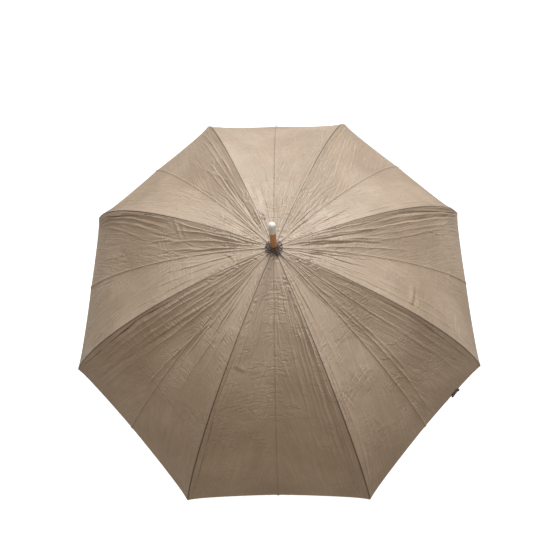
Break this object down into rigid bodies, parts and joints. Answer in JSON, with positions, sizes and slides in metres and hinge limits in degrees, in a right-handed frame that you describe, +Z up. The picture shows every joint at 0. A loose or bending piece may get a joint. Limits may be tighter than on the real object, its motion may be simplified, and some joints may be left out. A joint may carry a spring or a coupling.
{
  "type": "folding umbrella",
  "caption": "Opened stick umbrella with a domed cloth canopy on hinged ribs and stretchers, a sliding runner with spring catches, wooden shaft, ferrule and crook handle.",
  "frame": {"origin": "on the shaft's axis, level with the lowest point of the crook handle", "axes": "+Z up the shaft towards the ferrule, +X towards the hook of the handle"},
  "size_m": [0.9264, 0.9264, 0.8661],
  "materials": {
    "beech": "varnished",
    "metal": "nickel plated",
    "steel": "blackened spring steel",
    "black_plastic": "moulded",
    "white_plastic": "moulded, glossy",
    "tip_plastic": "moulded",
    "cloth": "satin pongee",
    "cloth_dark": "gathered, frayed",
    "strap": "woven, with a press stud"
  },
  "bodies": {
    "shaft": {"shaft": "beech", "handle": "beech", "handle_collar": "metal", "crown_notch": "black_plastic", "crown_wire": "metal", "rosette": "cloth_dark", "ferrule_cap": "white_plastic"},
    "rib_1_inner": {"rib_1_inner": "steel", "canopy_1_inner": "cloth"},
    "rib_1_outer": {"rib_1_outer": "steel", "rib_tip_1": "tip_plastic", "canopy_1_outer": "cloth"},
    "stretcher_1": {"stretcher_1": "steel"},
    "rib_2_inner": {"rib_2_inner": "steel", "canopy_2_inner": "cloth"},
    "rib_2_outer": {"rib_2_outer": "steel", "rib_tip_2": "tip_plastic", "canopy_2_outer": "cloth"},
    "stretcher_2": {"stretcher_2": "steel"},
    "rib_3_inner": {"rib_3_inner": "steel", "canopy_3_inner": "cloth"},
    "rib_3_outer": {"rib_3_outer": "steel", "rib_tip_3": "tip_plastic", "canopy_3_outer": "cloth"},
    "stretcher_3": {"stretcher_3": "steel"},
    "rib_4_inner": {"rib_4_inner": "steel", "canopy_4_inner": "cloth"},
    "rib_4_outer": {"rib_4_outer": "steel", "rib_tip_4": "tip_plastic", "canopy_4_outer": "cloth"},
    "stretcher_4": {"stretcher_4": "steel"},
    "rib_5_inner": {"rib_5_inner": "steel", "canopy_5_inner": "cloth"},
    "rib_5_outer": {"rib_5_outer": "steel", "rib_tip_5": "tip_plastic", "canopy_5_outer": "cloth"},
    "stretcher_5": {"stretcher_5": "steel"},
    "rib_6_inner": {"rib_6_inner": "steel", "canopy_6_inner": "cloth"},
    "rib_6_outer": {"rib_6_outer": "steel", "rib_tip_6": "tip_plastic", "canopy_6_outer": "cloth"},
    "stretcher_6": {"stretcher_6": "steel"},
    "rib_7_inner": {"rib_7_inner": "steel", "canopy_7_inner": "cloth"},
    "rib_7_outer": {"rib_7_outer": "steel", "rib_tip_7": "tip_plastic", "canopy_7_outer": "cloth"},
    "stretcher_7": {"stretcher_7": "steel"},
    "rib_8_inner": {"rib_8_inner": "steel", "canopy_8_inner": "cloth"},
    "rib_8_outer": {"rib_8_outer": "steel", "rib_tip_8": "tip_plastic", "canopy_8_outer": "cloth", "closure_strap": "strap"},
    "stretcher_8": {"stretcher_8": "steel"},
    "runner": {"runner": "metal", "runner_wire": "metal"},
    "top_spring": {"top_spring": "steel"},
    "hand_spring": {"hand_spring": "steel"}
  },
  "joints": [
    {"name": "canopy_fold", "type": "hinge", "parent": "shaft", "child": "rib_1_inner", "pos_m": [0.0097, 0.00402, 0.76141], "axis": [-0.3827, 0.9239, 0], "range_deg": [0, 74.89], "deforming": ["canopy_1_inner", "canopy_1_outer", "canopy_2_inner", "canopy_2_outer", "canopy_3_inner", "canopy_3_outer", "canopy_4_inner", "canopy_4_outer", "canopy_5_inner", "canopy_5_outer", "canopy_6_inner", "canopy_6_outer", "canopy_7_inner", "canopy_7_outer", "canopy_8_inner", "canopy_8_outer", "top_spring", "hand_spring"]},
    {"name": "rib_1_flex", "type": "hinge", "parent": "rib_1_inner", "child": "rib_1_outer", "pos_m": [0.25418, 0.10528, 0.69686], "axis": [-0.3827, 0.9239, 0], "range_deg": [-26.39, 0]},
    {"name": "stretcher_1_pivot", "type": "hinge", "parent": "rib_1_inner", "child": "stretcher_1", "pos_m": [0.24867, 0.103, 0.69829], "axis": [-0.3827, 0.9239, 0], "range_deg": [-149.78, 0]},
    {"name": "runner_pivot", "type": "hinge", "parent": "stretcher_1", "child": "runner", "pos_m": [0.0097, 0.00402, 0.63517], "axis": [-0.3827, 0.9239, 0], "range_deg": [0, 74.89]},
    {"name": "rib_2_fold", "type": "hinge", "parent": "shaft", "child": "rib_2_inner", "pos_m": [0.00402, 0.0097, 0.76141], "axis": [-0.9239, 0.3827, 0], "range_deg": [0, 74.89]},
    {"name": "rib_2_flex", "type": "hinge", "parent": "rib_2_inner", "child": "rib_2_outer", "pos_m": [0.10528, 0.25418, 0.69686], "axis": [-0.9239, 0.3827, 0], "range_deg": [-26.39, 0]},
    {"name": "stretcher_2_pivot", "type": "hinge", "parent": "rib_2_inner", "child": "stretcher_2", "pos_m": [0.103, 0.24867, 0.69829], "axis": [-0.9239, 0.3827, 0], "range_deg": [-149.78, 0]},
    {"name": "rib_3_fold", "type": "hinge", "parent": "shaft", "child": "rib_3_inner", "pos_m": [-0.00402, 0.0097, 0.76141], "axis": [-0.9239, -0.3827, 0], "range_deg": [0, 74.89]},
    {"name": "rib_3_flex", "type": "hinge", "parent": "rib_3_inner", "child": "rib_3_outer", "pos_m": [-0.10528, 0.25418, 0.69686], "axis": [-0.9239, -0.3827, 0], "range_deg": [-26.39, 0]},
    {"name": "stretcher_3_pivot", "type": "hinge", "parent": "rib_3_inner", "child": "stretcher_3", "pos_m": [-0.103, 0.24867, 0.69829], "axis": [-0.9239, -0.3827, 0], "range_deg": [-149.78, 0]},
    {"name": "rib_4_fold", "type": "hinge", "parent": "shaft", "child": "rib_4_inner", "pos_m": [-0.0097, 0.00402, 0.76141], "axis": [-0.3827, -0.9239, 0], "range_deg": [0, 74.89]},
    {"name": "rib_4_flex", "type": "hinge", "parent": "rib_4_inner", "child": "rib_4_outer", "pos_m": [-0.25418, 0.10528, 0.69686], "axis": [-0.3827, -0.9239, 0], "range_deg": [-26.39, 0]},
    {"name": "stretcher_4_pivot", "type": "hinge", "parent": "rib_4_inner", "child": "stretcher_4", "pos_m": [-0.24867, 0.103, 0.69829], "axis": [-0.3827, -0.9239, 0], "range_deg": [-149.78, 0]},
    {"name": "rib_5_fold", "type": "hinge", "parent": "shaft", "child": "rib_5_inner", "pos_m": [-0.0097, -0.00402, 0.76141], "axis": [0.3827, -0.9239, 0], "range_deg": [0, 74.89]},
    {"name": "rib_5_flex", "type": "hinge", "parent": "rib_5_inner", "child": "rib_5_outer", "pos_m": [-0.25418, -0.10528, 0.69686], "axis": [0.3827, -0.9239, 0], "range_deg": [-26.39, 0]},
    {"name": "stretcher_5_pivot", "type": "hinge", "parent": "rib_5_inner", "child": "stretcher_5", "pos_m": [-0.24867, -0.103, 0.69829], "axis": [0.3827, -0.9239, 0], "range_deg": [-149.78, 0]},
    {"name": "rib_6_fold", "type": "hinge", "parent": "shaft", "child": "rib_6_inner", "pos_m": [-0.00402, -0.0097, 0.76141], "axis": [0.9239, -0.3827, 0], "range_deg": [0, 74.89]},
    {"name": "rib_6_flex", "type": "hinge", "parent": "rib_6_inner", "child": "rib_6_outer", "pos_m": [-0.10528, -0.25418, 0.69686], "axis": [0.9239, -0.3827, 0], "range_deg": [-26.39, 0]},
    {"name": "stretcher_6_pivot", "type": "hinge", "parent": "rib_6_inner", "child": "stretcher_6", "pos_m": [-0.103, -0.24867, 0.69829], "axis": [0.9239, -0.3827, 0], "range_deg": [-149.78, 0]},
    {"name": "rib_7_fold", "type": "hinge", "parent": "shaft", "child": "rib_7_inner", "pos_m": [0.00402, -0.0097, 0.76141], "axis": [0.9239, 0.3827, 0], "range_deg": [0, 74.89]},
    {"name": "rib_7_flex", "type": "hinge", "parent": "rib_7_inner", "child": "rib_7_outer", "pos_m": [0.10528, -0.25418, 0.69686], "axis": [0.9239, 0.3827, 0], "range_deg": [-26.39, 0]},
    {"name": "stretcher_7_pivot", "type": "hinge", "parent": "rib_7_inner", "child": "stretcher_7", "pos_m": [0.103, -0.24867, 0.69829], "axis": [0.9239, 0.3827, 0], "range_deg": [-149.78, 0]},
    {"name": "rib_8_fold", "type": "hinge", "parent": "shaft", "child": "rib_8_inner", "pos_m": [0.0097, -0.00402, 0.76141], "axis": [0.3827, 0.9239, 0], "range_deg": [0, 74.89]},
    {"name": "rib_8_flex", "type": "hinge", "parent": "rib_8_inner", "child": "rib_8_outer", "pos_m": [0.25418, -0.10528, 0.69686], "axis": [0.3827, 0.9239, 0], "range_deg": [-26.39, 0]},
    {"name": "stretcher_8_pivot", "type": "hinge", "parent": "rib_8_inner", "child": "stretcher_8", "pos_m": [0.24867, -0.103, 0.69829], "axis": [0.3827, 0.9239, 0], "range_deg": [-149.78, 0]},
    {"name": "top_catch_press", "type": "hinge", "parent": "shaft", "child": "top_spring", "pos_m": [-0.0028, 0, 0.57607], "axis": [0, 1, 0], "range_deg": [0, 6.5], "stiffness_Nm_per_rad": 0.5, "springref_deg": -1.15},
    {"name": "hand_catch_press", "type": "hinge", "parent": "shaft", "child": "hand_spring", "pos_m": [-0.0028, 0, 0.16997], "axis": [0, 1, 0], "range_deg": [0, 6.5], "stiffness_Nm_per_rad": 0.5, "springref_deg": -1.15}
  ],
  "couplings": [
    {"joint": "rib_1_flex", "follows": "canopy_fold", "ratio": -0.3522},
    {"joint": "stretcher_1_pivot", "follows": "canopy_fold", "ratio": -2},
    {"joint": "runner_pivot", "follows": "canopy_fold", "ratio": 1},
    {"joint": "rib_2_fold", "follows": "canopy_fold", "ratio": 1},
    {"joint": "rib_2_flex", "follows": "canopy_fold", "ratio": -0.3522},
    {"joint": "stretcher_2_pivot", "follows": "canopy_fold", "ratio": -2},
    {"joint": "rib_3_fold", "follows": "canopy_fold", "ratio": 1},
    {"joint": "rib_3_flex", "follows": "canopy_fold", "ratio": -0.3522},
    {"joint": "stretcher_3_pivot", "follows": "canopy_fold", "ratio": -2},
    {"joint": "rib_4_fold", "follows": "canopy_fold", "ratio": 1},
    {"joint": "rib_4_flex", "follows": "canopy_fold", "ratio": -0.3522},
    {"joint": "stretcher_4_pivot", "follows": "canopy_fold", "ratio": -2},
    {"joint": "rib_5_fold", "follows": "canopy_fold", "ratio": 1},
    {"joint": "rib_5_flex", "follows": "canopy_fold", "ratio": -0.3522},
    {"joint": "stretcher_5_pivot", "follows": "canopy_fold", "ratio": -2},
    {"joint": "rib_6_fold", "follows": "canopy_fold", "ratio": 1},
    {"joint": "rib_6_flex", "follows": "canopy_fold", "ratio": -0.3522},
    {"joint": "stretcher_6_pivot", "follows": "canopy_fold", "ratio": -2},
    {"joint": "rib_7_fold", "follows": "canopy_fold", "ratio": 1},
    {"joint": "rib_7_flex", "follows": "canopy_fold", "ratio": -0.3522},
    {"joint": "stretcher_7_pivot", "follows": "canopy_fold", "ratio": -2},
    {"joint": "rib_8_fold", "follows": "canopy_fold", "ratio": 1},
    {"joint": "rib_8_flex", "follows": "canopy_fold", "ratio": -0.3522},
    {"joint": "stretcher_8_pivot", "follows": "canopy_fold", "ratio": -2}
  ]
}
